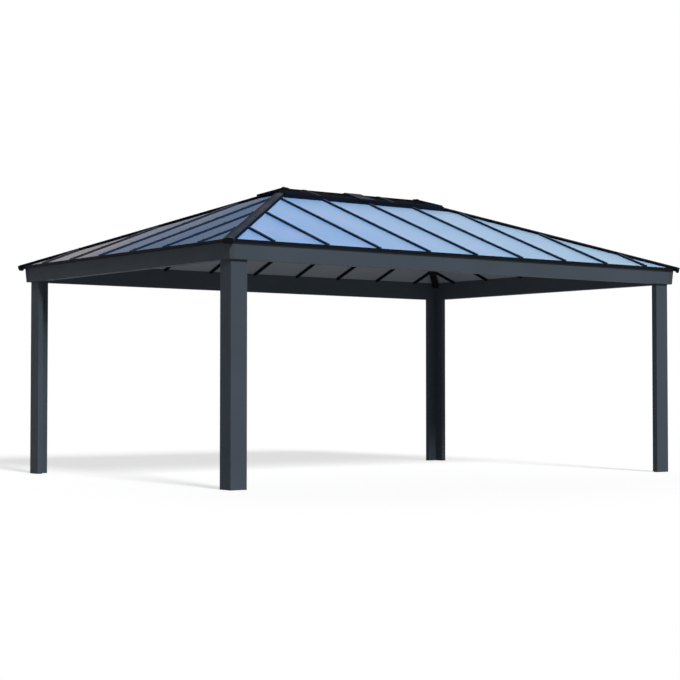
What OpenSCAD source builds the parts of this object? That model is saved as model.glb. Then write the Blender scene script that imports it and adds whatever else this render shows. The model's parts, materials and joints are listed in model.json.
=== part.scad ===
// Hardtop metal gazebo: four L-section corner posts carry a mitred ring of beams and a hip roof
// of flat sheet panels with batten seams, hip caps and a ridge cover.
// Millimetres. +X runs along the long side, +Z is up, and the origin is on the ground at the centre.

/* [Plan] */
// Length of the roof between the panel edges of the two short sides
roof_l = 6068; // [5000:1:7200]
// Width of the roof between the panel edges of the two long sides
roof_w = 4178; // [3400:1:4900]
// Distance from a post's outer face out to the panel edge
eave_over = 77; // [65:1:110]

/* [Posts] */
// Height of the posts, which is the clear height under the beams
post_h = 2120; // [1900:10:2500]
// Width of each leg of the L-section post
post_leg = 180; // [140:5:240]
// Depth of a leg between its outer and inner faces
post_d = 55; // [40:1:70]
// Wall thickness of the post section
post_wall = 3; // [2:0.5:6]

/* [Beams] */
// Distance that the beam stands out past the post face
beam_out = 37; // [20:1:50]
// Height of the beam's outer face
beam_h = 155; // [130:1:190]
// Distance that the outer face leans out from bottom to top
beam_lean = 11; // [0:1:14]
// Wall thickness of the beam section
beam_wall = 3; // [2:0.5:6]
// Width of each leg of the corner trim over a beam joint
trim_leg = 50; // [30:1:80]
// Sheet thickness of the corner trim
trim_t = 2; // [1:0.5:4]

/* [Roof] */
// Slope of all four roof planes in degrees
roof_pitch = 21; // [16:0.5:28]
// Height from the beam's top to the panel's edge
rail_h = 16; // [12:1:30]
// Thickness of the eave trim's lip outside the panel edge
lip_t = 6; // [4:1:10]
// Height of the lip above the panel edge
lip_up = 10; // [6:1:14]
// Thickness of a roof panel
sheet_t = 4; // [2:0.5:8]
// Distance between panel seams
panel_w = 632; // [450:1:800]
// Narrowest panel allowed beside a roof corner
corner_min = 200; // [120:10:300]

/* [Seams] */
// Width of the rafter under a seam
bar_w = 26; // [18:1:40]
// Depth of the rafter below the panels
bar_d = 27; // [15:1:40]
// Thickness of the rafter's tongue between two panels
web_t = 6; // [4:0.5:10]
// Gap between a panel edge and the rafter's tongue
seam_gap = 1; // [0.5:0.5:3]
// Width of the batten that covers a seam
batten_w = 24; // [14:1:32]
// Height of the batten
batten_h = 22; // [12:1:30]
// Wall thickness of the batten channel
batten_wall = 2; // [1:0.5:4]

/* [Hips] */
// Width of the hip rafters and of the ridge beam
rafter_w = 76; // [50:1:90]
// Distance from the hip line to the panel edge, measured along the eave
hip_gap = 10; // [6:1:16]
// Depth of the hip end below the panels at a roof corner
end_d = 36; // [28:1:45]
// Distance that the hip end stands out past the roof corner
hip_over = 28; // [15:1:60]
// Width of each arm of the hip cap, from the hip line to its rim
cap_arm = 45; // [36:1:60]
// Height of the hip cap above the panels
cap_h = 25; // [12:1:32]
// Distance that the hip cap's skirt spreads out below its rim
cap_splay = 14; // [4:1:20]
// Sheet thickness of the hip caps and the ridge cover
cap_t = 2.5; // [1:0.5:5]

/* [Ridge] */
// Distance from the ridge line to the long edges of the ridge cover
cover_out = 275; // [200:1:320]
// Distance from the end of the ridge to the short edges of the ridge cover
cover_end = 178; // [160:1:260]
// Height of the ridge cover above the panels along the ridge line
cover_h = 30; // [20:1:40]
// Height of the ridge cover's long edges above the panels
cover_edge = 45; // [30:1:50]
// Width of the flange that the ridge cover sits on
cover_flange = 30; // [20:1:60]

/* [Hidden] */
// Running clearance left between pieces that don't bear on each other
clear = 0.5;
// Extra length for a solid that is trimmed afterwards
spare = 200;

half_l = roof_l / 2;
half_w = roof_w / 2;
ridge_half = half_l - half_w;
post_x = half_l - eave_over;
post_y = half_w - eave_over;
beam_top = post_h + beam_h;
eave_z = beam_top + rail_h;
ridge_z = eave_z + half_w * tan(roof_pitch);

// Distances in from the panel edge to the beam's faces
face_low = eave_over - beam_out;
face_top = face_low - beam_lean;
face_in = eave_over + post_d;

// Slope of the hip line, the fall of a panel plane across a hip section and its thickness there
hip_slope = atan(tan(roof_pitch) / sqrt(2));
hip_fall = sin(hip_slope);
sheet_v = sheet_t / cos(roof_pitch);
sheet_hip = sheet_t * sqrt(1 + hip_fall * hip_fall);
hip_len = half_w * sqrt(2) / cos(hip_slope);
// The hip rafters are as deep as the space between the panels and the beams' inner corner
hip_depth = (face_in * tan(roof_pitch) + rail_h) * cos(hip_slope);
ridge_low = ridge_z - hip_depth / cos(hip_slope);
// The rafter tails pass just over the beams' outer corners
tail_d = (face_top * tan(roof_pitch) + rail_h) * cos(hip_slope) - clear;
slot = (rafter_w / 2 + clear) * sqrt(2);

// Each side: turn about Z, half length of its eave, distance of its eave from the centre, seam offset
FRONT = [0, half_l, half_w, 0];
RIGHT = [90, half_w, half_l, 0.5];
BACK = [180, half_l, half_w, 0];
LEFT = [270, half_w, half_l, 0.5];

frame_colour = [0.25, 0.28, 0.31];
trim_colour = [0.10, 0.11, 0.13];
panel_colour = [0.64, 0.74, 0.88];
cap_colour = [0.24, 0.25, 0.27];

// Moves an outline's edges inwards by d, for the bore of a hollow section drawn anticlockwise
function edge_normal(p, i) =
    let (a = p[i], b = p[(i + 1) % len(p)], e = (b - a) / norm(b - a)) [-e[1], e[0]];
function inset(p, d) = [
    for (i = [0 : len(p) - 1])
        let (m = edge_normal(p, (i + len(p) - 1) % len(p)), n = edge_normal(p, i))
            p[i] + d * (m + n) / (1 + m * n)
];

// Height of the panels' underside at a distance in from the panel edge
function underside(s) = eave_z - sheet_v + s * tan(roof_pitch);

// Seam positions along one eave, as many as leave room for the corner panels
function seam_count(side) = floor((side[1] - corner_min) / panel_w - side[3]);
function seams(side) = [
    for (k = [-seam_count(side) - 2 * side[3] : seam_count(side)]) (k + side[3]) * panel_w
];

// Length up the slope at u along the eave, kept a plan distance off the hip lines and the ridge
function rise(side, u, off) =
    max(0, min(half_w - off / sqrt(2), side[1] - abs(u) - off)) / cos(roof_pitch);

// Places a shape drawn in the front quadrant's corner at +X and +Y in another corner
module corner(right, back) {
    mirror([right ? 0 : 1, 0, 0])
        mirror([0, back ? 0 : 1, 0])
            children();
}

// Turns a side's shape, drawn with its eave at -Y, into place
module on_side(side) {
    rotate([0, 0, side[0]])
        translate([0, -side[2], 0])
            children();
}

// Lays a shape on a side's panel plane: X along the eave, Y up the slope, Z out of the roof
module on_slope(side) {
    on_side(side)
        translate([0, 0, eave_z])
            rotate([roof_pitch, 0, 0])
                children();
}

// Runs an outline of (inward distance, height) along one side, mitred at both corners
module along_side(side, outline, back) {
    on_side(side)
        intersection() {
            rotate([90, 0, 90])
                linear_extrude(2 * (side[1] + lip_t), center = true)
                    polygon(outline);
            linear_extrude(ridge_z)
                polygon([
                    [-side[1] - lip_t + back, -lip_t],
                    [side[1] + lip_t - back, -lip_t],
                    [side[1] - back - face_in, face_in],
                    [-side[1] + back + face_in, face_in]
                ]);
        }
}

// Runs an outline along the hip of the corner at +X and +Y, from the roof corner up
module along_hip(from, length) {
    translate([half_l, half_w, eave_z])
        rotate([0, 0, 225])
            rotate([0, -hip_slope, 0])
                translate([from, 0, 0])
                    rotate([90, 0, 90])
                        linear_extrude(length)
                            children();
}

// Solid from a level base up to four roof planes above the panels, cut to a plan rectangle
module hip_block(x, y, lift, base) {
    top = ridge_z + lift;
    edge_x = top - (x - ridge_half) * tan(roof_pitch);
    edge_y = top - y * tan(roof_pitch);
    intersection() {
        rotate([90, 0, 90])
            linear_extrude(2 * x, center = true)
                polygon([[-y, base], [y, base], [y, edge_y], [0, top], [-y, edge_y]]);
        rotate([90, 0, 0])
            linear_extrude(2 * y, center = true)
                polygon([
                    [-x, base], [x, base], [x, edge_x],
                    [ridge_half, top], [-ridge_half, top], [-x, edge_x]
                ]);
    }
}

// Low hipped block over the ridge, from a level base up to planes that all fall to the same edge height
module cover_block(inset, base) {
    x = ridge_half + cover_end - inset;
    y = cover_out - inset;
    top = ridge_z + cover_h - inset;
    edge = ridge_z - cover_out * tan(roof_pitch) + cover_edge - inset;
    intersection() {
        rotate([90, 0, 90])
            linear_extrude(2 * x, center = true)
                polygon([[-y, base], [y, base], [y, edge], [0, top], [-y, edge]]);
        rotate([90, 0, 0])
            linear_extrude(2 * y, center = true)
                polygon([
                    [-x, base], [x, base], [x, edge],
                    [ridge_half, top], [-ridge_half, top], [-x, edge]
                ]);
    }
}

// L-section post with its corner at +X and +Y
module post(right, back) {
    outline = [
        [0, 0], [-post_leg, 0], [-post_leg, -post_d],
        [-post_d, -post_d], [-post_d, -post_leg], [0, -post_leg]
    ];
    color(frame_colour)
        corner(right, back)
            translate([post_x, post_y, 0])
                linear_extrude(post_h)
                    difference() {
                        polygon(outline);
                        polygon(inset(outline, post_wall));
                    }
}

// Box beam with an outer face that leans out towards the top
module beam(side) {
    outline = [[face_low, post_h], [face_in, post_h], [face_in, beam_top], [face_top, beam_top]];
    color(frame_colour)
        difference() {
            along_side(side, outline, 0);
            along_side(side, inset(outline, beam_wall), 0);
        }
}

// Eave rail: fills between the beam and the panels
module eave_rail(side) {
    color(frame_colour)
        along_side(side, [
            [face_top, beam_top],
            [face_in, beam_top],
            [face_in, underside(face_in)],
            [face_top, underside(face_top)]
        ], slot);
}

// Drip trim under the panel edges of all four sides, with a lip in front that hides them
module eave_trim() {
    lip_in = -clear;
    color(trim_colour)
        difference() {
            for (side = [FRONT, RIGHT, BACK, LEFT])
                along_side(side, [
                    [-lip_t, beam_top],
                    [face_top, beam_top],
                    [face_top, underside(face_top)],
                    [lip_in, underside(lip_in)],
                    [lip_in, eave_z + lip_up],
                    [-lip_t, eave_z + lip_up]
                ], slot);
            for (right = [false, true], back = [false, true])
                corner(right, back)
                    along_hip(-spare, 2 * spare)
                        polygon(end_outline(clear));
        }
}

// Block inside the four leaning beam faces, moved outwards by a sheet's thickness
module face_block(out) {
    intersection() {
        rotate([90, 0, 90])
            linear_extrude(2 * half_l, center = true)
                polygon(face_outline(half_w, out));
        rotate([90, 0, 0])
            linear_extrude(2 * half_w, center = true)
                polygon(face_outline(half_l, out));
    }
}

function face_outline(half, out) = [
    [-half + face_low - out, post_h],
    [half - face_low + out, post_h],
    [half - face_top + out, beam_top],
    [-half + face_top - out, beam_top]
];

// Angle trim folded round the joint of two beams
module corner_trim(right, back) {
    color(frame_colour)
        corner(right, back)
            intersection() {
                difference() {
                    face_block(trim_t);
                    face_block(0);
                }
                translate([half_l - face_low - trim_leg, half_w - face_low - trim_leg, post_h])
                    cube([trim_leg + spare, trim_leg + spare, beam_h]);
            }
}

function hip_outline(depth) = [
    [-rafter_w / 2, -depth],
    [rafter_w / 2, -depth],
    [rafter_w / 2, -sheet_hip - hip_fall * rafter_w / 2],
    [0, -sheet_hip],
    [-rafter_w / 2, -sheet_hip - hip_fall * rafter_w / 2]
];

// Hip rafter: backed to the panels, cut level where it sits on the beams, with a shallow tail
module hip_rafter(right, back) {
    color(trim_colour)
        corner(right, back) {
            intersection() {
                along_hip(0, hip_len + spare)
                    polygon(hip_outline(hip_depth));
                translate([ridge_half, 0, beam_top])
                    cube([half_w - face_top, half_w - face_top, ridge_z]);
            }
            along_hip(0, face_in)
                polygon(hip_outline(tail_d));
        }
}

// Ridge beam between the two pairs of hip rafters
module ridge_beam() {
    shoulder = ridge_z - sheet_v - rafter_w / 2 * tan(roof_pitch);
    color(trim_colour)
        rotate([90, 0, 90])
            linear_extrude(2 * ridge_half, center = true)
                polygon([
                    [-rafter_w / 2, ridge_low],
                    [rafter_w / 2, ridge_low],
                    [rafter_w / 2, shoulder],
                    [0, ridge_z - sheet_v],
                    [-rafter_w / 2, shoulder]
                ]);
}

// Strip up the slope about a seam, ending on lines parallel to the hips
module seam_strip(side, u, width, start, off) {
    a = u - width / 2;
    b = u + width / 2;
    polygon([[a, start], [b, start], [b, rise(side, b, off)], [a, rise(side, a, off)]]);
}

// Rafters under the seams, with a tongue standing up between the panels
module rafters(side) {
    foot = (face_in + clear) / cos(roof_pitch);
    off = slot + (sheet_t + bar_d) * sin(roof_pitch) * sqrt(2);
    color(trim_colour)
        on_slope(side)
            for (u = seams(side)) {
                translate([0, 0, -sheet_t - bar_d])
                    linear_extrude(bar_d)
                        seam_strip(side, u, bar_w, foot, off);
                translate([0, 0, -sheet_t])
                    linear_extrude(sheet_t)
                        seam_strip(side, u, web_t, 0, off);
            }
}

// Flat panels between the seams, trimmed to the hips and the ridge
module panels(side) {
    edge = web_t / 2 + seam_gap;
    end = side[1] - hip_gap;
    flat = side[1] - half_w;
    cuts = concat([-end - edge], seams(side), [end + edge]);
    color(panel_colour)
        on_slope(side)
            translate([0, 0, -sheet_t])
                linear_extrude(sheet_t)
                    for (i = [0 : len(cuts) - 2])
                        polygon(panel_outline(side, cuts[i] + edge, cuts[i + 1] - edge, flat));
}

// One panel from a to b along the eave, with a corner wherever its top edge changes direction
function panel_outline(side, a, b, flat) = concat(
    [[a, 0], [b, 0]],
    rise(side, b, hip_gap) > 0 ? [[b, rise(side, b, hip_gap)]] : [],
    [
        for (u = flat > 0 ? [flat, -flat] : [0])
            if (u > a && u < b) [u, rise(side, u, hip_gap)]
    ],
    rise(side, a, hip_gap) > 0 ? [[a, rise(side, a, hip_gap)]] : []
);

// Batten channels over the seams, from the panel edge up to the hip caps or the ridge cover
module battens(side) {
    off = (cap_arm + cap_splay + clear) * sqrt(2);
    color(trim_colour)
        difference() {
            on_slope(side)
                for (u = seams(side))
                    difference() {
                        linear_extrude(batten_h)
                            seam_strip(side, u, batten_w, 0, off);
                        translate([0, 0, -clear])
                            linear_extrude(batten_h - batten_wall + clear)
                                seam_strip(side, u, batten_w - 2 * batten_wall, batten_wall, off - batten_wall);
                    }
            cover_room(cover_flange);
        }
}

// Room about the ridge cover, which the battens and the hip caps stop at
module cover_room(around) {
    x = ridge_half + cover_end + around + clear;
    y = cover_out + around + clear;
    translate([-x, -y, post_h])
        cube([2 * x, 2 * y, ridge_z]);
}

// Half section of a hip cap: arm length and height above the panel, as a point beside the hip line
function cap_point(arm, h) =
    let (n = norm([1, hip_fall])) [(arm + hip_fall * h) / n, (h - hip_fall * arm) / n];

function mirrored(p) = [-p[0], p[1]];

// Section of a hip cap, with a skirt that spreads from the rim down to the panels or some way below them
function cap_outline(arm, h, below) =
    let (foot = cap_point(arm + cap_splay * (h + below) / h, -below), n = norm([1, hip_fall])) [
        mirrored(foot),
        [0, -below * n],
        foot,
        cap_point(arm, h),
        [0, h * n],
        mirrored(cap_point(arm, h))
    ];

// Section of a hip end, which closes the cap and the rafter tail, grown by a clearance
function end_outline(grow) = [
    [-rafter_w / 2 - grow, -end_d],
    [rafter_w / 2 + grow, -end_d],
    cap_point(cap_arm + cap_splay + grow, 0),
    cap_point(cap_arm + grow, cap_h),
    [0, cap_h * norm([1, hip_fall])],
    mirrored(cap_point(cap_arm + grow, cap_h)),
    mirrored(cap_point(cap_arm + cap_splay + grow, 0))
];

// Folded cap over a hip
module hip_cap(right, back) {
    color(cap_colour)
        corner(right, back)
            difference() {
                along_hip(0, hip_len)
                    difference() {
                        polygon(cap_outline(cap_arm, cap_h, 0));
                        polygon(cap_outline(cap_arm - cap_t, cap_h - cap_t, clear));
                    }
                cover_room(0);
            }
}

// Square end that closes a hip cap and the rafter tail under it
module hip_end(right, back) {
    color(trim_colour)
        corner(right, back)
            along_hip(-hip_over, hip_over)
                polygon(end_outline(0));
}

// Hipped cover over the ridge, with its edges turned down to a flange that lies on the panels
module ridge_cover() {
    x = ridge_half + cover_end + cover_flange;
    y = cover_out + cover_flange;
    color(cap_colour)
        difference() {
            union() {
                cover_block(0, eave_z);
                difference() {
                    hip_block(x, y, cap_t, eave_z);
                    for (right = [false, true], back = [false, true])
                        corner(right, back)
                            along_hip(0, hip_len)
                                polygon(cap_outline(cap_arm + clear, cap_h, clear));
                }
            }
            cover_block(cap_t, post_h);
            hip_block(half_l, half_w, 0, post_h);
        }
}

post(false, false);  // post_front_left
post(true, false);  // post_front_right
post(false, true);  // post_back_left
post(true, true);  // post_back_right
beam(FRONT);  // beam_front
beam(RIGHT);  // beam_right
beam(BACK);  // beam_back
beam(LEFT);  // beam_left
eave_rail(FRONT);  // eave_rail_front
eave_rail(RIGHT);  // eave_rail_right
eave_rail(BACK);  // eave_rail_back
eave_rail(LEFT);  // eave_rail_left
eave_trim();
corner_trim(false, false);  // corner_trim_front_left
corner_trim(true, false);  // corner_trim_front_right
corner_trim(false, true);  // corner_trim_back_left
corner_trim(true, true);  // corner_trim_back_right
hip_rafter(false, false);  // hip_rafter_front_left
hip_rafter(true, false);  // hip_rafter_front_right
hip_rafter(false, true);  // hip_rafter_back_left
hip_rafter(true, true);  // hip_rafter_back_right
ridge_beam();
rafters(FRONT);  // rafters_front
rafters(RIGHT);  // rafters_right
rafters(BACK);  // rafters_back
rafters(LEFT);  // rafters_left
panels(FRONT);  // panels_front
panels(RIGHT);  // panels_right
panels(BACK);  // panels_back
panels(LEFT);  // panels_left
battens(FRONT);  // battens_front
battens(RIGHT);  // battens_right
battens(BACK);  // battens_back
battens(LEFT);  // battens_left
hip_cap(false, false);  // hip_cap_front_left
hip_cap(true, false);  // hip_cap_front_right
hip_cap(false, true);  // hip_cap_back_left
hip_cap(true, true);  // hip_cap_back_right
hip_end(false, false);  // hip_end_front_left
hip_end(true, false);  // hip_end_front_right
hip_end(false, true);  // hip_end_back_left
hip_end(true, true);  // hip_end_back_right
ridge_cover();
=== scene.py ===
"""Looks of the hardtop gazebo: finishes, roof fittings, floor, light and camera, in metres."""

import json
import math
from collections import namedtuple

import bmesh
import bpy
from mathutils import Matrix, Vector


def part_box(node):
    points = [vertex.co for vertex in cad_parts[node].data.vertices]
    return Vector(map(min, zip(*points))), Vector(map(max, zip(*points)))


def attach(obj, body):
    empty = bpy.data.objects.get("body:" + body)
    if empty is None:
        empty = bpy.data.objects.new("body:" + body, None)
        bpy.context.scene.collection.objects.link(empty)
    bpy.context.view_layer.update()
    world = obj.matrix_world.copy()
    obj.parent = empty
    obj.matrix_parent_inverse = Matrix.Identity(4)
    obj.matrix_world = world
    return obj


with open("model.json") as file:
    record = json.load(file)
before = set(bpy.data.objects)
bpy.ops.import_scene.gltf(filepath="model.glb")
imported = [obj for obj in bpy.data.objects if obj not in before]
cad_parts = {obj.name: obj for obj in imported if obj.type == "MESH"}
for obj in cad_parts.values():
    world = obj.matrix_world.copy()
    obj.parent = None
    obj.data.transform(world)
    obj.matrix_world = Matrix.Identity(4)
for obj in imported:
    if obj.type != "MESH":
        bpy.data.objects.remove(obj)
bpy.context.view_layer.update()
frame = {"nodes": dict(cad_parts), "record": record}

# Camera, solved from the edges of the posts, beams and eaves; its angles are in radians
CAMERA_PLACE = (-11.2847, -14.64078, 0.90014)
CAMERA_YAW = 0.64918
CAMERA_PITCH = 0.03157
CAMERA_FOCAL_PX = 1648.305
CAMERA_REACH = 200.0
PHOTO_PX = 680
SENSOR_MM = 36.0

# Finishes, as linear colours
SLATE = (0.049, 0.062, 0.078)
TRIM_SLATE = (0.046, 0.055, 0.063)
BLACK = (0.006, 0.007, 0.009)
# Painted reflection on the battens: navy in front, grey towards the back
NAVY_REFLECTION = (0.010, 0.026, 0.062)
SEAM_GREY_REFLECTION = (0.026, 0.026, 0.034)
CAP_GREY = (0.050, 0.062, 0.084)
# Capping edges in painted shade, black on one side and navy on the other as a painted reflection
CAP_EDGE_SHADE_DARK_REFLECTION = (0.003, 0.004, 0.006)
CAP_EDGE_SHADE_SKY_REFLECTION = (0.009, 0.018, 0.036)
CAP_BROWN = (0.080, 0.078, 0.100)
COVER_DARK = (0.005, 0.005, 0.006)
# Painted highlights on the ridge cover: pale streaks and a paler rim; its skirt's navy is a painted
# reflection
COVER_HIGHLIGHT_STREAKS = (0.030, 0.026, 0.026)
COVER_RIM_HIGHLIGHT = (0.014, 0.016, 0.021)
COVER_SKIRT_REFLECTION = (0.005, 0.009, 0.020)
# Painted sky reflection: the long sheets' blue, paler to the right, with lavender clouds
SKY_REFLECTION_LEFT = (0.200, 0.400, 0.770)
SKY_REFLECTION_RIGHT = (0.360, 0.570, 0.765)
LAVENDER_REFLECTION = (0.370, 0.470, 0.800)
# Painted shade and reflection: the short sheets' darker grey, bluer in front and warm at the back
SHADED_REFLECTION_FRONT = (0.200, 0.270, 0.415)
SHADED_REFLECTION_BACK = (0.490, 0.470, 0.500)
SHEET_UNDER = (0.190, 0.210, 0.236)
WHITE = (1.0, 1.0, 1.0)

# How far a cloudy colour goes either side of its middle, and the most lavender of painted reflection in a
# blue sheet
CLOUD_DEPTH = 0.06
REFLECTION_HAZE_MOST = 0.40

# Roughness, from smoothest to dullest, and specular levels
COAT_ROUGH = (0.45, 0.55)
BATTEN_ROUGH = (0.40, 0.50)
CAP_ROUGH = (0.45, 0.58)
SHEET_ROUGH = (0.28, 0.34)
COAT_SHINE = 0.05
DARK_SHINE = 0.03
SHEET_SHINE = 0.015
NO_SHINE = 0.0

# Noise patterns, as scale and detail, with roughness and stretch where they differ from the usual
COAT_CLOUDS = (1.7, 4.0)
SHEET_CLOUDS = (0.8, 3.0)
# Haze of painted lavender reflection on the long sheets
REFLECTION_HAZE = (2.6, 2.0)
BLOTCHES = (1.6, 4.0, 0.6)
# Streaks of painted highlight on the ridge cover
HIGHLIGHT_STREAKS = (3.0, 4.0, 0.6, (1, 6, 6))
COAT_WANDER = (9.0, 3.0)
SHEET_WANDER = (1.2, 3.0)
PEEL = (420.0, 2.0)
PEEL_STRENGTH = 0.12
PEEL_HEIGHT = 0.0006

# Noise levels between which a pattern goes from one look to the other
NOISE_MIDDLE = (0.3, 0.7)
# Levels of the haze of painted lavender reflection
REFLECTION_HAZE_LEVELS = (0.45, 0.70)
BLOTCH_LEVELS = (0.42, 0.62)
# Levels of the painted highlight streaks
HIGHLIGHT_STREAK_LEVELS = (0.46, 0.66)

# Components of a face's direction between which it counts as the other side, or as an upper face, for a
# painted reflection by side and painted light on upper faces
REFLECTION_SIDE_TURN = (-0.2, 0.2)
UNDER_TURN = (-0.01, 0.01)
PAINTED_LIGHT_TOP_TURN = (0.80, 0.86)

# Places along the depth between which a painted reflection turns from front to back, and the waver of
# such a turn
BATTEN_REFLECTION_TURN = (-0.4, 1.2)
SHADED_REFLECTION_TURN = (-0.4, 1.5)
WAVER = 0.4

# Sockets that a mix node uses for colours
MIX_FACTOR = 0
MIX_FIRST = 6
MIX_SECOND = 7
MIX_RESULT = 2

# Lamps: where each stands in plan, its elevation, strength and spread; then the ambient level
KEY = ((-0.16, -0.987), 28.0, 3.13, 14.0)
BACK = ((0.35, 0.94), 30.0, 0.5, 60.0)
AMBIENT = 0.05

# Floor: half its side, the distances between which it fades to plain white, its own glow near the
# object, and its lightness to the camera and to bounced light
FLOOR_HALF = 60.0
FLOOR_FADE = (9.0, 18.0)
FLOOR_GLOW = 0.66
FLOOR_SHOWN = 0.58
FLOOR_WHITE = 0.88

# Rounding of the frame's sharp edges, on the nodes whose names start so
ROUNDED = ("post", "beam", "corner_trim", "hip_end")
ROUND_WIDTH = 0.002
ROUND_STEPS = 2

# Roof planes: pitch, sheet, seams and caps as in the part's source, the rest read from its solids.
# The panels' upper faces meet at the eave height.
PITCH = math.radians(21.0)
SHEET_T = 0.004
SEAM_PITCH = 0.632
BATTEN_H = 0.022
CAP_ARM = 0.045
CAP_H = 0.025
HALF_L = -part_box("panels_left")[0].x
HALF_W = -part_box("panels_front")[0].y
EAVE_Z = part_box("panels_front")[0].z + SHEET_T * math.cos(PITCH)
RIDGE_Z = EAVE_Z + HALF_W * math.tan(PITCH)
RIDGE_HALF = HALF_L - HALF_W

# The four slopes: turn about the vertical, distance of the eave from the middle, half the eave's
# length, and the seams' offset from the eave's middle as a share of their pitch; then the least
# width of a corner panel at the eave
Slope = namedtuple("Slope", "turn depth reach offset")
SLOPES = (
    Slope(0.0, HALF_W, HALF_L, 0.0),
    Slope(math.pi, HALF_W, HALF_L, 0.0),
    Slope(math.pi / 2, HALF_L, HALF_W, 0.5),
    Slope(-math.pi / 2, HALF_L, HALF_W, 0.5),
)
CORNER_LEAST = 0.2

# Ridge cover: flange and edge as in the part's source, the rest read from its solid, and the
# distances from the middle between which its top turns to its rim, a painted highlight
COVER_FLANGE = 0.030
COVER_EDGE = 0.045
COVER_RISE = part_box("ridge_cover")[1].z - RIDGE_Z
COVER_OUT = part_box("ridge_cover")[1].y - COVER_FLANGE
COVER_SLOPE = math.tan(PITCH) + (COVER_RISE - COVER_EDGE) / COVER_OUT
RIM_HIGHLIGHT_BANDS = (0.14, 0.19)

# Saddles over the ridge cover: middle, width and thickness of each, and how far they turn down
SADDLES = ((-0.665, 0.050, 0.004), (0.0, 0.230, 0.011), (0.375, 0.050, 0.004))
SADDLE_DROP = 0.012

# End caps that lap the ridge cover and the upper ends of the hip caps: reach down the slopes, heights
# over the roof planes at the ridge and at the edges, lap along the ridge, thickness and turned-down lip
END_OUT = 0.212
END_TOP = 0.041
END_EDGE = 0.0455
END_LAP = 0.050
END_T = 0.003
END_LIP = 0.004
# Lower edge of an end cap from its corner inwards, cut out round a hip cap, as (distance in, height
# over the panel)
END_NOTCH = ((0.0, 0.028), (0.066, 0.028), (0.086, 0.002))

# Turned knobs and screw heads, as profiles of (radius, height), and the facets of a turn
KNOB_SUNK = 0.007
KNOB_PROFILE = ((0.024, -0.012), (0.024, 0.003), (0.020, 0.007), (0.010, 0.010), (0.0, 0.011))
SCREW_PROFILE = ((0.0065, -0.0005), (0.0065, 0.00225), (0.0039, 0.0045), (0.0, 0.004725))
FACETS = 12

# Screws: greatest spacing, and on battens the distances from eave, ridge and hip and the least run
SCREW_STEP = 0.36
BATTEN_SCREW_FOOT = 0.06
BATTEN_SCREW_TOP = 0.34
BATTEN_SCREW_HIP = 0.10
BATTEN_SCREW_RUN = 0.2
# Screws on hip caps: distances from eave and ridge in plan, and from the hip
CAP_SCREW_FOOT = 0.12
CAP_SCREW_TOP = 0.26
CAP_SCREW_OUT = CAP_ARM * 0.75


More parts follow.
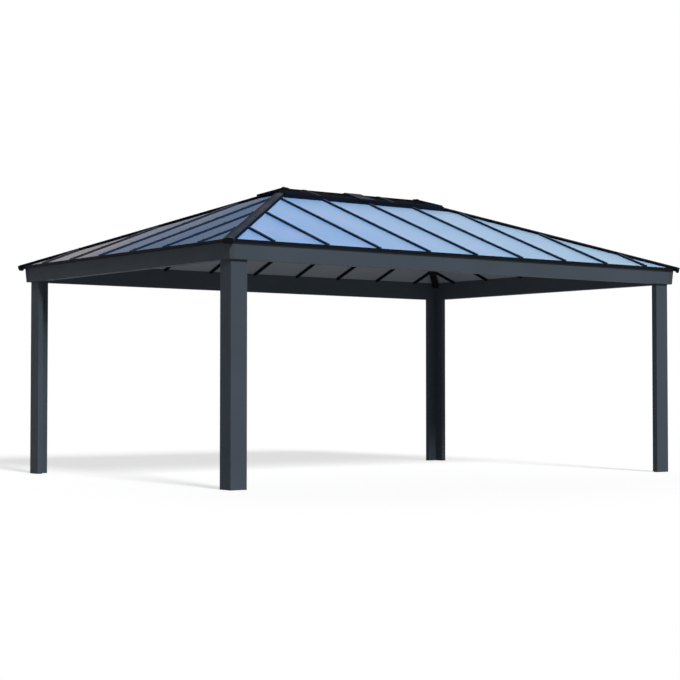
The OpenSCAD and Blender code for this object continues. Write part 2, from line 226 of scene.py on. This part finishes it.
class Nodes:
    """The node tree of a material or a world, with short calls to add and join nodes."""

    def __init__(self, owner, output="ShaderNodeOutputMaterial"):
        self.owner = owner
        owner.use_nodes = True
        self.tree = owner.node_tree
        self.tree.nodes.clear()
        self.output = self.add(output)

    def add(self, kind, **values):
        node = self.tree.nodes.new(kind)
        for key, value in values.items():
            setattr(node, key, value)
        return node

    def join(self, source, target):
        self.tree.links.new(source, target)

    def place(self):
        return self.add("ShaderNodeTexCoord").outputs["Object"]

    def component(self, vector, axis):
        parts = self.add("ShaderNodeSeparateXYZ")
        self.join(vector, parts.inputs["Vector"])
        return parts.outputs[axis]

    def calculate(self, operation, *values):
        node = self.add("ShaderNodeMath", operation=operation)
        for value, socket in zip(values, node.inputs):
            self.join(value, socket)
        return node.outputs[0]

    def span(self, value, between, to=(0.0, 1.0)):
        """Goes from one level to another as a value goes between two others."""
        ranged = self.add("ShaderNodeMapRange")
        ranged.inputs["From Min"].default_value, ranged.inputs["From Max"].default_value = between
        ranged.inputs["To Min"].default_value, ranged.inputs["To Max"].default_value = to
        self.join(value, ranged.inputs["Value"])
        return ranged.outputs["Result"]

    def facing(self, axis, between):
        """A blend by one component of the face's own direction, before any bump."""
        normal = self.add("ShaderNodeNewGeometry").outputs["True Normal"]
        return self.span(self.component(normal, axis), between)

    def along(self, axis, between, waver):
        """A blend between two places along an axis, with a wavering edge."""
        shift = self.span(waver, NOISE_MIDDLE, (-WAVER, WAVER))
        return self.span(self.calculate("ADD", self.component(self.place(), axis), shift), between)

    def across(self, axis, between):
        """A blend between two distances either side of the middle."""
        return self.span(self.calculate("ABSOLUTE", self.component(self.place(), axis)), between)

    def noise(self, scale, detail, rough=0.5, stretch=(1, 1, 1)):
        mapping = self.add("ShaderNodeMapping")
        mapping.inputs["Scale"].default_value = stretch
        self.join(self.place(), mapping.inputs["Vector"])
        noise = self.add("ShaderNodeTexNoise")
        noise.inputs["Scale"].default_value = scale
        noise.inputs["Detail"].default_value = detail
        noise.inputs["Roughness"].default_value = rough
        self.join(mapping.outputs["Vector"], noise.inputs["Vector"])
        return noise.outputs["Fac"]

    def mix(self, factor, first, second):
        mixed = self.add("ShaderNodeMix", data_type="RGBA")
        self.join(factor, mixed.inputs[MIX_FACTOR])
        for socket, colour in ((MIX_FIRST, first), (MIX_SECOND, second)):
            if isinstance(colour, tuple):
                mixed.inputs[socket].default_value = (*colour, 1.0)
            else:
                self.join(colour, mixed.inputs[socket])
        return mixed.outputs[MIX_RESULT]

    def clouded(self, cloud, colour):
        """A colour that is a little darker and lighter in clouds."""
        darker, lighter = tint(colour, 1 - CLOUD_DEPTH), tint(colour, 1 + CLOUD_DEPTH)
        return self.mix(self.span(cloud, NOISE_MIDDLE), darker, lighter)

    def wander(self, pattern, between):
        """A roughness that wanders between two values."""
        return self.span(self.noise(*pattern), NOISE_MIDDLE, between)

    def peel(self):
        """The fine orange-peel skin of a sprayed coat."""
        bump = self.add("ShaderNodeBump")
        bump.inputs["Strength"].default_value = PEEL_STRENGTH
        bump.inputs["Distance"].default_value = PEEL_HEIGHT
        self.join(self.noise(*PEEL), bump.inputs["Height"])
        return bump.outputs["Normal"]

    def show(self, shader):
        self.join(shader.outputs[0], self.output.inputs["Surface"])

    def surface(self, **values):
        """Shows a surface with the given inputs and returns the material."""
        shader = self.add("ShaderNodeBsdfPrincipled")
        for key, value in values.items():
            socket = shader.inputs[key.replace("_", " ")]
            if isinstance(value, bpy.types.NodeSocket):
                self.join(value, socket)
            else:
                socket.default_value = value
        self.show(shader)
        return self.owner


def new_nodes(name):
    return Nodes(bpy.data.materials.new(name))


def tint(colour, factor):
    return tuple(c * factor for c in colour)


def powder_coat(name, colour, shine=COAT_SHINE):
    """Satin powder coat: a fine orange-peel skin, faint clouds and a roughness that wanders a little."""
    n = new_nodes(name)
    shade = n.clouded(n.noise(*COAT_CLOUDS), colour)
    rough = n.wander(COAT_WANDER, COAT_ROUGH)
    return n.surface(Base_Color=shade, Roughness=rough, Normal=n.peel(), Specular_IOR_Level=shine)


def batten_coat(name):
    """Smooth dark coat of the battens, with a painted reflection that is navy in front and turns to a
    neutral grey towards the back.
    """
    n = new_nodes(name)
    shade = n.mix(n.along("Y", BATTEN_REFLECTION_TURN, n.noise(*SHEET_CLOUDS)), NAVY_REFLECTION, SEAM_GREY_REFLECTION)
    rough = n.wander(COAT_WANDER, BATTEN_ROUGH)
    return n.surface(Base_Color=shade, Roughness=rough, Normal=n.peel(), Specular_IOR_Level=DARK_SHINE)


def folded_coat(n, edge, top):
    """Dull coat of folded sheet, with painted light: one colour on upper faces and another, painted shade
    and reflection, on turned-down edges.
    """
    shade = n.mix(n.facing("Z", PAINTED_LIGHT_TOP_TURN), edge, top)
    rough = n.wander(COAT_WANDER, CAP_ROUGH)
    return n.surface(Base_Color=shade, Roughness=rough, Specular_IOR_Level=NO_SHINE)


def capping(name):
    """Folded capping: a mottled upper face and edges dark as painted shade, black on the left and navy on
    the right-hand side as a painted reflection.
    """
    n = new_nodes(name)
    edge = n.mix(n.facing("X", REFLECTION_SIDE_TURN), CAP_EDGE_SHADE_DARK_REFLECTION, CAP_EDGE_SHADE_SKY_REFLECTION)
    top = n.mix(n.span(n.noise(*BLOTCHES), BLOTCH_LEVELS), CAP_GREY, CAP_BROWN)
    return folded_coat(n, edge, top)


def cover_sheet(name):
    """Ridge cover: dark with pale streaks of painted highlight along the ridge, a paler rim of painted
    highlight and edges tinted navy as a painted reflection.
    """
    n = new_nodes(name)
    streaked_highlights = n.mix(n.span(n.noise(*HIGHLIGHT_STREAKS), HIGHLIGHT_STREAK_LEVELS), COVER_DARK, COVER_HIGHLIGHT_STREAKS)
    return folded_coat(n, COVER_SKIRT_REFLECTION, n.mix(n.across("Y", RIM_HIGHLIGHT_BANDS), streaked_highlights, COVER_RIM_HIGHLIGHT))


def coated_sheet(n, cloud, outside, shine):
    """Smooth coated sheet with the given colour outside, which carries the roof's painted reflection and
    shade, and grey underneath.
    """
    shade = n.mix(n.facing("Z", UNDER_TURN), n.clouded(cloud, SHEET_UNDER), outside)
    rough = n.wander(SHEET_WANDER, SHEET_ROUGH)
    return n.surface(Base_Color=shade, Roughness=rough, Specular_IOR_Level=shine)


def long_sheet(name):
    """Sheet of the long slopes: blue as a painted sky reflection, paler to the right, with faint lavender
    clouds of painted reflection.
    """
    n = new_nodes(name)
    cloud = n.noise(*SHEET_CLOUDS)
    blue = n.mix(n.along("X", (-HALF_W, HALF_W), cloud), SKY_REFLECTION_LEFT, SKY_REFLECTION_RIGHT)
    blue = n.mix(n.span(n.noise(*REFLECTION_HAZE), REFLECTION_HAZE_LEVELS, (0.0, REFLECTION_HAZE_MOST)), blue, LAVENDER_REFLECTION)
    return coated_sheet(n, cloud, blue, SHEET_SHINE)


def short_sheet(name):
    """Sheet of the short slopes: darker than the long slopes as painted shade, blue-grey in front and
    turning to a warm grey towards the back as a painted reflection.
    """
    n = new_nodes(name)
    cloud = n.noise(*SHEET_CLOUDS)
    grey = n.mix(n.along("Y", SHADED_REFLECTION_TURN, cloud), SHADED_REFLECTION_FRONT, SHADED_REFLECTION_BACK)
    return coated_sheet(n, cloud, grey, NO_SHINE)


def dress_cad():
    """Gives every CAD node the finish of its record slot, or its own where it has one."""
    slots = {row["node"]: row["material_slot"] for row in frame["record"]["subparts"]}
    for name, piece in frame["nodes"].items():
        own = [finish for start, finish in OWN_FINISHES.items() if name.startswith(start)]
        piece.data.materials.clear()
        piece.data.materials.append(own[0] if own else FINISHES[slots[name]])


def soften_edges():
    """Rounds the sharp edges of posts, beams and their fittings, as rolled sections have."""
    for name, piece in frame["nodes"].items():
        if name.startswith(ROUNDED):
            bevel = piece.modifiers.new("edge", "BEVEL")
            bevel.width = ROUND_WIDTH
            bevel.segments = ROUND_STEPS
            bevel.limit_method = "ANGLE"


def add_object(name, data):
    thing = bpy.data.objects.new(name, data)
    bpy.context.scene.collection.objects.link(thing)
    return thing


def mesh_object(name, points, faces):
    mesh = bpy.data.meshes.new(name)
    mesh.from_pydata(points, [], faces)
    mesh.update()
    return add_object(name, mesh)


def add_piece(name, points, faces, slot, finish=None):
    """A new closed piece of the part, with its faces turned outwards, in its slot's finish or another."""
    piece = mesh_object(name, points, faces)
    skin = bmesh.new()
    skin.from_mesh(piece.data)
    bmesh.ops.recalc_face_normals(skin, faces=skin.faces)
    skin.to_mesh(piece.data)
    skin.free()
    piece.data.materials.append(finish or FINISHES[slot])
    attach(piece, "root")


def turned(profile, place):
    """Points and faces of a profile turned about the local Z of a placing matrix."""
    points, faces = [], []
    rings = [row for row in profile if row[0] > 0]
    for radius, height in rings:
        for i in range(FACETS):
            turn = 2 * math.pi * i / FACETS
            points.append(place @ Vector((radius * math.cos(turn), radius * math.sin(turn), height)))
    for ring in range(len(rings) - 1):
        low, high = ring * FACETS, (ring + 1) * FACETS
        for i in range(FACETS):
            j = (i + 1) % FACETS
            faces.append((low + i, low + j, high + j, high + i))
    faces.append(tuple(range(FACETS)))
    points.append(place @ Vector((0, 0, profile[-1][1])))
    last = (len(rings) - 1) * FACETS
    faces.extend((last + i, last + (i + 1) % FACETS, len(points) - 1) for i in range(FACETS))
    return points, faces


def turned_group(name, profile, places, slot):
    """One piece of many like turned heads."""
    points, faces = [], []
    for place in places:
        some, more = turned(profile, place)
        faces.extend(tuple(i + len(points) for i in face) for face in more)
        points.extend(some)
    add_piece(name, points, faces, slot)


def steps(start, end):
    """Evenly spaced places from start to end, no further apart than the screws' spacing."""
    count = max(1, math.ceil((end - start) / SCREW_STEP))
    return [start + (end - start) * i / count for i in range(count + 1)]


def on_slope(slope, u, up_slope, lift):
    """Placing matrix: u along the eave, a length up the slope and a height above the panel."""
    eave = Matrix.Rotation(slope.turn, 4, "Z") @ Matrix.Translation((0, -slope.depth, EAVE_Z))
    return eave @ Matrix.Rotation(PITCH, 4, "X") @ Matrix.Translation((u, up_slope, lift))


def seam_places(slope):
    """Distances along an eave of the seams that leave a corner panel."""
    count = int(slope.reach / SEAM_PITCH)
    found = [(k + slope.offset) * SEAM_PITCH for k in range(-count - 1, count + 1)]
    return [u for u in found if abs(u) < slope.reach - CORNER_LEAST]


def make_batten_screws():
    """Screw heads along the battens."""
    places = []
    for slope in SLOPES:
        for u in seam_places(slope):
            run = min(HALF_W - BATTEN_SCREW_TOP, slope.reach - abs(u) - BATTEN_SCREW_HIP)
            end = run / math.cos(PITCH)
            if end > BATTEN_SCREW_RUN:
                places += [on_slope(slope, u, t, BATTEN_H) for t in steps(BATTEN_SCREW_FOOT, end)]
    turned_group("batten_screws", SCREW_PROFILE, places, "seam")


def make_cap_screws():
    """Screw heads along both arms of the hip caps."""
    places = []
    for slope in SLOPES:
        for hand in (-1, 1):
            for inward in steps(CAP_SCREW_FOOT, HALF_W - CAP_SCREW_TOP):
                u = hand * (slope.reach - inward - CAP_SCREW_OUT)
                places.append(on_slope(slope, u, inward / math.cos(PITCH), CAP_H))
    turned_group("cap_screws", SCREW_PROFILE, places, "cap")


def shell(outer, inner, faces):
    """Points and faces of a closed thin shell between two sheets of points with the same faces."""
    count = len(outer)
    edges = {(face[i - 1], face[i]) for face in faces for i in range(len(face))}
    back = [tuple(count + i for i in reversed(face)) for face in faces]
    rim = [(b, a, count + a, count + b) for a, b in sorted(edges) if (b, a) not in edges]
    return outer + inner, faces + back + rim


def saddle_sheet(middle, width, out, top, foot):
    """One skin of a saddle: two slopes from the ridge and their turned-down edges, at both its ends."""
    edge = top - out * COVER_SLOPE
    outline = ((-out, foot), (-out, edge), (0, top), (out, edge), (out, foot))
    return [(middle + end * width / 2, y, z) for end in (-1, 1) for y, z in outline]


def make_saddles():
    """Saddle strips over the joints of the ridge cover."""
    ridge = RIDGE_Z + COVER_RISE
    for number, (middle, width, lift) in enumerate(SADDLES, 1):
        out = COVER_OUT + lift
        foot = ridge - out * COVER_SLOPE - SADDLE_DROP
        outer = saddle_sheet(middle, width, out, ridge + lift, foot)
        inner = saddle_sheet(middle, width, COVER_OUT, ridge, foot)
        half = len(outer) // 2
        faces = [(i, i + 1, half + i + 1, half + i) for i in range(half - 1)]
        add_piece(f"ridge_saddle_{number}", *shell(outer, inner, faces), "cap")


def end_sheet(hand, inset):
    """One skin of an end cap: two slopes beside the ridge, the end slope and the turned-down edges."""
    out = END_OUT - inset
    top = RIDGE_Z + END_TOP - inset
    foot = RIDGE_Z - out * math.tan(PITCH)
    edge = foot + END_EDGE - inset
    lap, ridge, end = (hand * (RIDGE_HALF + x) for x in (-END_LAP, 0.0, out))
    points = [
        (lap, -out, edge), (lap, 0, top), (lap, out, edge),
        (ridge, 0, top), (end, -out, edge), (end, out, edge),
        (lap, -out, edge - END_LIP), (lap, out, edge - END_LIP),
    ]
    notch = [(-out + step, high) for step, high in END_NOTCH]
    notch += [(-y, high) for y, high in reversed(notch)]
    return points + [(end, y, foot + high) for y, high in notch]


def make_end_caps():
    """Hipped end caps over both ends of the ridge cover."""
    for name, hand in (("left", -1), ("right", 1)):
        outer, inner = end_sheet(hand, 0.0), end_sheet(hand, END_T)
        last = len(outer) - 1
        first = len(outer) - 2 * len(END_NOTCH)
        # Points 0 to 5 carry the slopes, 6 and 7 end the lips at the lap, and the notched foot follows
        slopes = [(0, 4, 3, 1), (1, 3, 5, 2), (4, 5, 3)]
        lips = [(6, first, 4, 0), (2, 5, last, 7), (5, 4, *range(first, last + 1))]
        points, faces = shell(outer, inner, slopes + lips)
        add_piece(f"ridge_end_{name}", points, faces, "cap", OWN_FINISHES["ridge_cover"])


def make_knobs():
    """Low turned knobs where the hips meet the ridge."""
    top = RIDGE_Z + END_TOP - KNOB_SUNK
    places = [Matrix.Translation((hand * RIDGE_HALF, 0, top)) for hand in (-1, 1)]
    turned_group("ridge_knobs", KNOB_PROFILE, places, "trim")


def make_floor():
    """White floor that keeps a pale shadow near the object and fades into the white background."""
    r = FLOOR_HALF
    floor = mesh_object("floor", [(-r, -r, 0), (r, -r, 0), (r, r, 0), (-r, r, 0)], [(0, 1, 2, 3)])
    n = new_nodes("floor_white")
    away = n.add("ShaderNodeVectorMath", operation="LENGTH")
    n.join(n.place(), away.inputs[0])
    far = n.span(away.outputs["Value"], FLOOR_FADE)
    plain = n.add("ShaderNodeBsdfDiffuse")
    plain.inputs["Color"].default_value = (*tint(WHITE, FLOOR_WHITE), 1.0)
    shown = n.add("ShaderNodeBsdfDiffuse")
    n.join(n.mix(far, tint(WHITE, FLOOR_SHOWN), tint(WHITE, 0.0)), shown.inputs["Color"])
    glow = n.add("ShaderNodeEmission")
    n.join(n.span(far, (0.0, 1.0), (FLOOR_GLOW, 1.0)), glow.inputs["Strength"])
    seen = n.add("ShaderNodeAddShader")
    n.join(glow.outputs[0], seen.inputs[0])
    n.join(shown.outputs[0], seen.inputs[1])
    by_ray = n.add("ShaderNodeMixShader")
    n.join(n.add("ShaderNodeLightPath").outputs["Is Camera Ray"], by_ray.inputs["Fac"])
    n.join(plain.outputs[0], by_ray.inputs[1])
    n.join(seen.outputs[0], by_ray.inputs[2])
    n.show(by_ray)
    floor.data.materials.append(n.owner)


def make_world():
    """Soft ambient light, white to the camera and in reflections."""
    world = bpy.data.worlds.new("studio")
    bpy.context.scene.world = world
    n = Nodes(world, "ShaderNodeOutputWorld")
    rays = n.add("ShaderNodeLightPath").outputs
    mirrored = n.calculate("MAXIMUM", rays["Is Glossy Ray"], rays["Is Transmission Ray"])
    shown = n.calculate("MAXIMUM", rays["Is Camera Ray"], mirrored)
    back = n.add("ShaderNodeBackground")
    back.inputs["Color"].default_value = (*WHITE, 1.0)
    n.join(n.span(shown, (0.0, 1.0), (AMBIENT, 1.0)), back.inputs["Strength"])
    n.show(back)


def direction(plan, rise):
    """Unit vector along a direction in plan, raised by an angle."""
    return Vector((*plan, 0)).normalized() * math.cos(rise) + Vector((0, 0, math.sin(rise)))


def aim(thing, towards, axis):
    """Turns an object so that one of its axes points along a vector, with Y as its upward axis."""
    thing.rotation_mode = "QUATERNION"
    thing.rotation_quaternion = towards.to_track_quat(axis, "Y")


def make_lamp(name, place, elevation, strength, spread):
    """A broad, distant lamp."""
    lamp = bpy.data.lights.new(name, "SUN")
    lamp.energy = strength
    lamp.angle = math.radians(spread)
    aim(add_object(name, lamp), direction(place, math.radians(elevation)), "Z")


def make_camera():
    """Camera at the photograph's viewing angle."""
    lens = bpy.data.cameras.new("camera")
    lens.sensor_width = SENSOR_MM
    lens.lens = SENSOR_MM * CAMERA_FOCAL_PX / PHOTO_PX
    lens.clip_end = CAMERA_REACH
    camera = add_object("camera", lens)
    camera.location = CAMERA_PLACE
    aim(camera, direction((math.sin(CAMERA_YAW), math.cos(CAMERA_YAW)), CAMERA_PITCH), "-Z")
    bpy.context.scene.camera = camera


# Finishes by the record's slots, and those of nodes whose names start so
FINISHES = {
    "frame": powder_coat("slate_powder_coat", SLATE),
    "trim": powder_coat("black_powder_coat", BLACK, DARK_SHINE),
    # Capping with edges in painted shade and reflection
    "cap": capping("capping_painted_shade_and_reflection"),
    # Roof sheet in blue, a painted sky reflection
    "roof_panel": long_sheet("roof_sheet_painted_sky_reflection"),
    # Battens in a painted reflection, navy turning to grey
    "seam": batten_coat("batten_coat_painted_reflection"),
}
OWN_FINISHES = {
    # Short sheets in painted shade and reflection
    ("panels_left", "panels_right"): short_sheet("roof_sheet_painted_shade_and_reflection"),
    # Ridge cover with painted highlights and a painted reflection on its edges
    "ridge_cover": cover_sheet("ridge_cover_painted_highlights"),
    "corner_trim": powder_coat("warm_slate_powder_coat", TRIM_SLATE),
}

dress_cad()
soften_edges()
make_batten_screws()
make_cap_screws()
make_saddles()
make_end_caps()
make_knobs()
make_floor()
make_world()
make_lamp("key", *KEY)
make_lamp("back", *BACK)
make_camera()
bpy.context.scene.view_settings.view_transform = "Standard"
